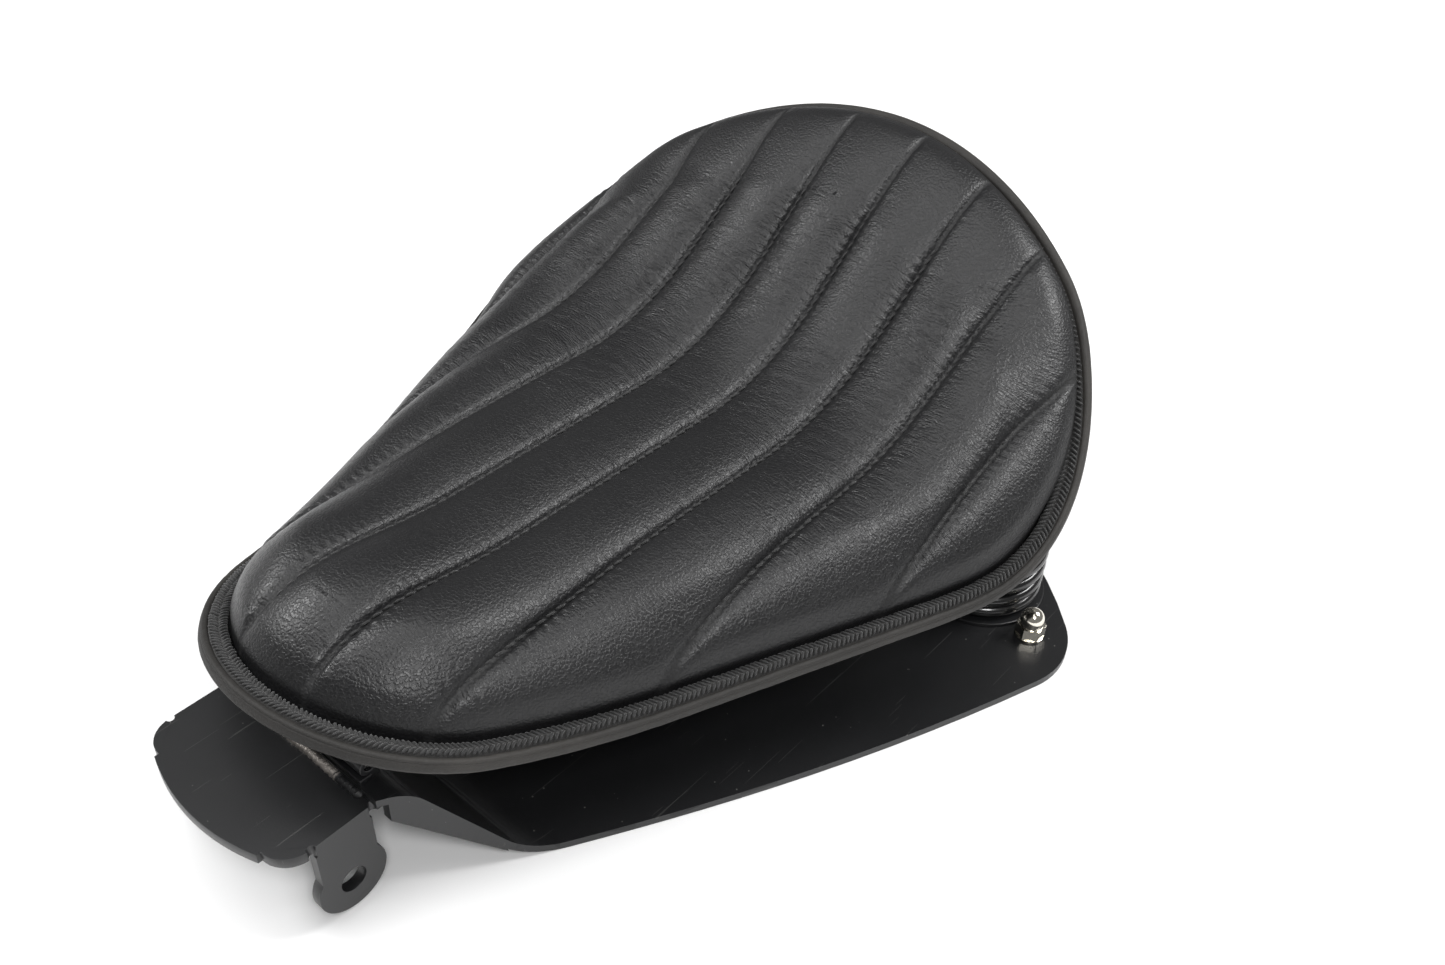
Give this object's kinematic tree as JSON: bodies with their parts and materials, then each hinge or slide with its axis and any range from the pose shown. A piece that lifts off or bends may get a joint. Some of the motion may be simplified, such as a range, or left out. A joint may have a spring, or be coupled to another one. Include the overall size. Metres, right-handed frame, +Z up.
{
  "type": "motorcycle seat",
  "caption": "Sprung solo motorcycle seat: channelled leather cushion on a curved pan, hinged at the nose on a pressed base plate with a two-eared front bracket and coil springs at the back.",
  "frame": {"origin": "on the axis of the front bracket's bolt holes, midway between the two ears", "axes": "+X forward to the nose, +Y to the rider's left along the bolt axis, +Z up, square to the base plate's floor"},
  "size_m": [0.3476, 0.294, 0.152],
  "materials": {
    "black_steel": "satin powder coat",
    "spring_steel": "gloss black",
    "zinc": "zinc plated",
    "nickel": "bright nickel",
    "weld": "weld bead partly bare",
    "black_leather": "satin, fine grain",
    "edge_leather": "raw cut edge, matt",
    "thread": "black cord",
    "foam": "open foam"
  },
  "bodies": {
    "base": {"base_plate": "black_steel", "front_bracket": "black_steel", "bracket_weld": "weld", "hinge_lower_leaf": "black_steel", "hinge_pin": "zinc", "rear_fixing_screws": "zinc", "rear_fixing_washers": "zinc", "rear_dome_nuts": "nickel", "lower_spring_studs": "zinc", "lower_spring_seats": "black_steel", "lower_spring_nuts": "zinc", "spring_left": "spring_steel", "spring_right": "spring_steel"},
    "seat": {"seat_pan": "black_steel", "spring_perches": "black_steel", "upper_spring_studs": "zinc", "upper_spring_seats": "black_steel", "upper_spring_nuts": "zinc", "hinge_upper_leaf": "black_steel", "hinge_bolts": "zinc", "pan_tee_nuts": "zinc", "foam_pad": "foam", "leather_cover": "black_leather", "binding_upper": "black_leather", "binding_edge": "edge_leather", "binding_lower": "edge_leather", "edge_stitching": "thread"}
  },
  "joints": [
    {"name": "nose_hinge", "type": "hinge", "parent": "base", "child": "seat", "pos_m": [-0.0155, 0, 0.0348], "axis": [0, -1, 0], "range_deg": [0, 2.4], "stiffness_Nm_per_rad": 1700, "springref_deg": -0.57, "deforming": ["spring_left", "spring_right"]}
  ]
}
